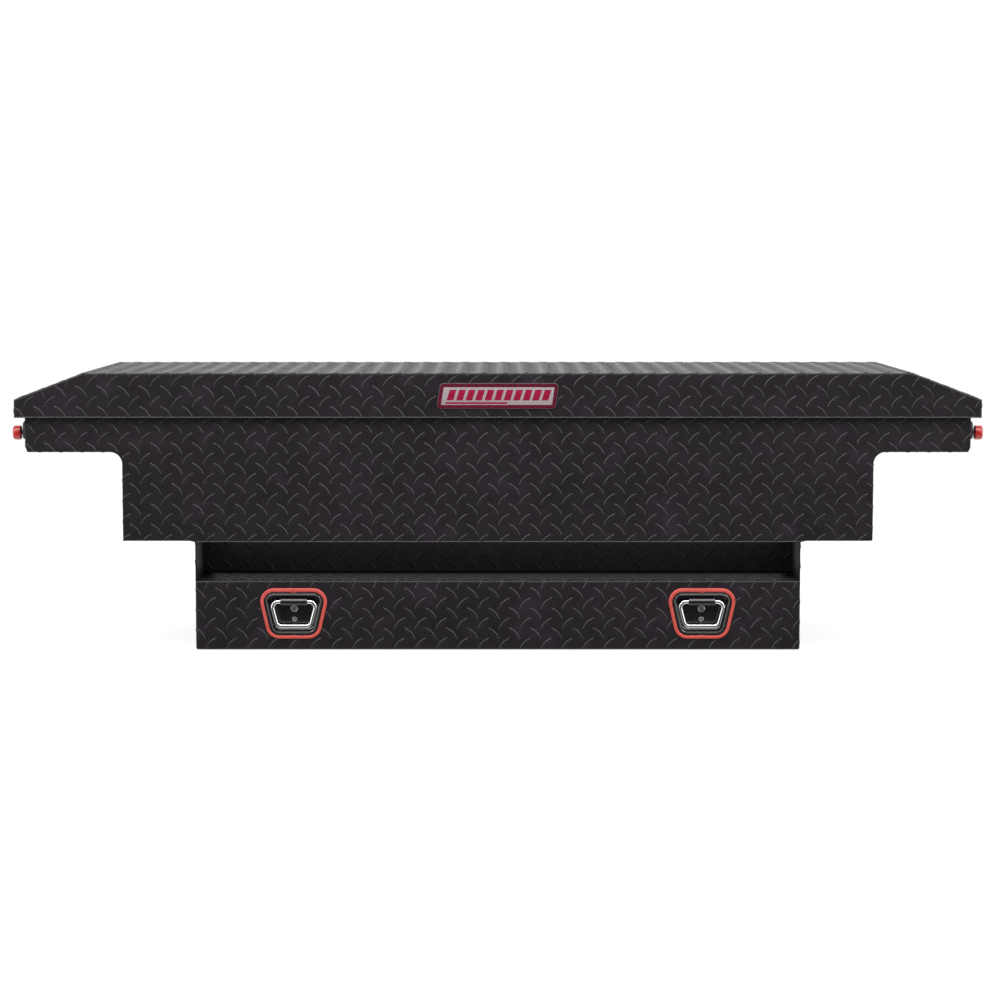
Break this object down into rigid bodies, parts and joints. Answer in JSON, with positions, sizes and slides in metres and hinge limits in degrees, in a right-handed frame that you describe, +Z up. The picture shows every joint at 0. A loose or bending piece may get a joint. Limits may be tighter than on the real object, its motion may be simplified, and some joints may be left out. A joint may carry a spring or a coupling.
{
  "type": "crossover truck tool box",
  "caption": "Full-width crossover tool box for a pickup bed: diamond tread lid and tub with wings over the bed rails, push-button lid latch, and a drawer below with recessed ring pulls.",
  "frame": {"origin": "middle of the footprint, on the plane that the drawer bay stands on", "axes": "+X across the truck to the box's right seen from the drawer side, -Y towards the drawer fronts, +Z up"},
  "size_m": [1.842, 0.5188, 0.525],
  "materials": {
    "tread_sheet": "diamond tread sheet with a satin black powder coat",
    "plain_sheet": "plain sheet with a satin black powder coat",
    "lid_pan_sheet": "thin plain sheet with a satin black coat",
    "zinc_steel": "zinc plated",
    "spring_steel": "drawn wire",
    "chrome_trim": "polished",
    "strut_paint": "gloss black",
    "red_plastic": "gloss red",
    "red_rubber": "matt red",
    "black_plastic": "fine texture",
    "seal_rubber": "matt black",
    "mat_rubber": "ribbed",
    "badge_metal": "brushed, bright edge",
    "badge_paint": null
  },
  "bodies": {
    "tub": {"tub_front_panel": "tread_sheet", "tub_rear_panel": "tread_sheet", "tub_end_left": "tread_sheet", "tub_end_right": "tread_sheet", "tub_floor": "plain_sheet", "well_pan": "tread_sheet", "weather_seal": "seal_rubber", "bay_side_left": "tread_sheet", "bay_side_right": "tread_sheet", "bay_base": "plain_sheet", "bay_rear_panel": "tread_sheet", "bay_deck": "tread_sheet", "slide_outer_left": "zinc_steel", "slide_outer_right": "zinc_steel", "hinge_leaf_tub": "zinc_steel", "hinge_pin": "zinc_steel", "hinge_rivets_tub": "zinc_steel", "latch_bracket_left": "zinc_steel", "latch_bracket_right": "zinc_steel", "button_escutcheons": "plain_sheet", "button_spring_left": "spring_steel", "button_spring_right": "spring_steel", "rod_guides": "plain_sheet", "strut_feet": "zinc_steel", "tray_rails": "plain_sheet"},
    "lid": {"lid_skin": "tread_sheet", "lid_inner_pan": "lid_pan_sheet", "lid_stiffeners": "lid_pan_sheet", "hinge_leaf_lid": "zinc_steel", "hinge_rivets_lid": "zinc_steel", "badge_plate": "badge_metal", "badge_panel": "badge_paint", "lid_strikers": "zinc_steel", "strut_hangers": "zinc_steel"},
    "button_left": {"push_button_left": "red_plastic"},
    "button_right": {"push_button_right": "red_plastic"},
    "lever_left": {"latch_lever_left": "zinc_steel"},
    "lever_right": {"latch_lever_right": "zinc_steel"},
    "link": {"link_rod": "zinc_steel"},
    "strut_left": {"strut_cylinder_left": "strut_paint"},
    "strut_right": {"strut_cylinder_right": "strut_paint"},
    "piston_left": {"strut_rod_left": "chrome_trim"},
    "piston_right": {"strut_rod_right": "chrome_trim"},
    "slide_middle": {"slide_middle_pair": "zinc_steel"},
    "drawer": {"drawer_front": "tread_sheet", "drawer_tray": "plain_sheet", "drawer_mat": "mat_rubber", "slide_inner_pair": "zinc_steel", "handle_gaskets": "red_rubber", "handle_housing_left": "black_plastic", "handle_housing_right": "black_plastic", "handle_screws": "zinc_steel"},
    "ring_left": {"pull_ring_left": "chrome_trim"},
    "ring_right": {"pull_ring_right": "chrome_trim"},
    "bolt_left": {"slam_bolt_left": "zinc_steel"},
    "bolt_right": {"slam_bolt_right": "zinc_steel"},
    "lock_left": {"key_lock_left": "zinc_steel"},
    "lock_right": {"key_lock_right": "zinc_steel"},
    "parts_tray": {"parts_tray": "plain_sheet"}
  },
  "joints": [
    {"name": "lid_hinge", "type": "hinge", "parent": "tub", "child": "lid", "pos_m": [0, 0.251, 0.438], "axis": [-1, 0, 0], "range_deg": [0, 80]},
    {"name": "button_left_push", "type": "slide", "parent": "tub", "child": "button_left", "axis": [1, 0, 0], "range_m": [0, 0.004], "stiffness_N_per_m": 900, "deforming": ["button_spring_left"]},
    {"name": "button_right_push", "type": "slide", "parent": "tub", "child": "button_right", "axis": [-1, 0, 0], "range_m": [0, 0.004], "deforming": ["button_spring_right"]},
    {"name": "lever_left_turn", "type": "hinge", "parent": "tub", "child": "lever_left", "pos_m": [-0.856, -0.2, 0.424], "axis": [0, -1, 0], "range_deg": [0, 16.5]},
    {"name": "lever_right_turn", "type": "hinge", "parent": "tub", "child": "lever_right", "pos_m": [0.856, -0.2, 0.424], "axis": [0, 1, 0], "range_deg": [0, 16.5]},
    {"name": "link_slide", "type": "slide", "parent": "tub", "child": "link", "axis": [1, 0, 0], "range_m": [0, 0.004]},
    {"name": "strut_left_tilt", "type": "hinge", "parent": "tub", "child": "strut_left", "pos_m": [-0.69, 0.173, 0.265], "axis": [-1, 0, 0], "range_deg": [0, 16.07]},
    {"name": "strut_left_extend", "type": "slide", "parent": "strut_left", "child": "piston_left", "axis": [0, 0, 1], "range_m": [0, 0.08043]},
    {"name": "strut_right_tilt", "type": "hinge", "parent": "tub", "child": "strut_right", "pos_m": [0.69, 0.173, 0.265], "axis": [-1, 0, 0], "range_deg": [0, 16.07]},
    {"name": "strut_right_extend", "type": "slide", "parent": "strut_right", "child": "piston_right", "axis": [0, 0, 1], "range_m": [0, 0.08043]},
    {"name": "drawer_slide", "type": "slide", "parent": "tub", "child": "drawer", "axis": [0, -1, 0], "range_m": [0, 0.4]},
    {"name": "slide_middle_travel", "type": "slide", "parent": "tub", "child": "slide_middle", "axis": [0, -1, 0], "range_m": [0, 0.2]},
    {"name": "ring_left_lift", "type": "hinge", "parent": "drawer", "child": "ring_left", "pos_m": [-0.386, -0.243, 0.0917], "axis": [-1, 0, 0], "range_deg": [0, 60]},
    {"name": "bolt_left_draw", "type": "slide", "parent": "drawer", "child": "bolt_left", "axis": [0, 0, -1], "range_m": [0, 0.007]},
    {"name": "lock_left_turn", "type": "hinge", "parent": "drawer", "child": "lock_left", "pos_m": [-0.386, -0.221, 0.0774], "axis": [0, 1, 0], "range_deg": [0, 90]},
    {"name": "ring_right_lift", "type": "hinge", "parent": "drawer", "child": "ring_right", "pos_m": [0.386, -0.243, 0.0917], "axis": [-1, 0, 0], "range_deg": [0, 60]},
    {"name": "bolt_right_draw", "type": "slide", "parent": "drawer", "child": "bolt_right", "axis": [0, 0, -1], "range_m": [0, 0.007]},
    {"name": "lock_right_turn", "type": "hinge", "parent": "drawer", "child": "lock_right", "pos_m": [0.386, -0.221, 0.0774], "axis": [0, 1, 0], "range_deg": [0, 90]},
    {"name": "parts_tray_slide", "type": "slide", "parent": "tub", "child": "parts_tray", "axis": [1, 0, 0], "range_m": [0, 0.9]}
  ],
  "couplings": [
    {"joint": "button_right_push", "follows": "button_left_push", "ratio": 1},
    {"joint": "lever_left_turn", "follows": "button_left_push", "rad_per_m": 71.429},
    {"joint": "lever_right_turn", "follows": "button_left_push", "rad_per_m": 71.429},
    {"joint": "link_slide", "follows": "button_left_push", "ratio": 1},
    {"joint": "slide_middle_travel", "follows": "drawer_slide", "ratio": 0.5},
    {"joint": "strut_left_tilt", "follows": "lid_hinge", "ratio": 0.2008},
    {"joint": "strut_left_extend", "follows": "lid_hinge", "m_per_rad": 0.05759},
    {"joint": "bolt_left_draw", "follows": "ring_left_lift", "m_per_rad": 0.006685},
    {"joint": "strut_right_tilt", "follows": "lid_hinge", "ratio": 0.2008},
    {"joint": "strut_right_extend", "follows": "lid_hinge", "m_per_rad": 0.05759},
    {"joint": "bolt_right_draw", "follows": "ring_right_lift", "m_per_rad": 0.006685}
  ]
}
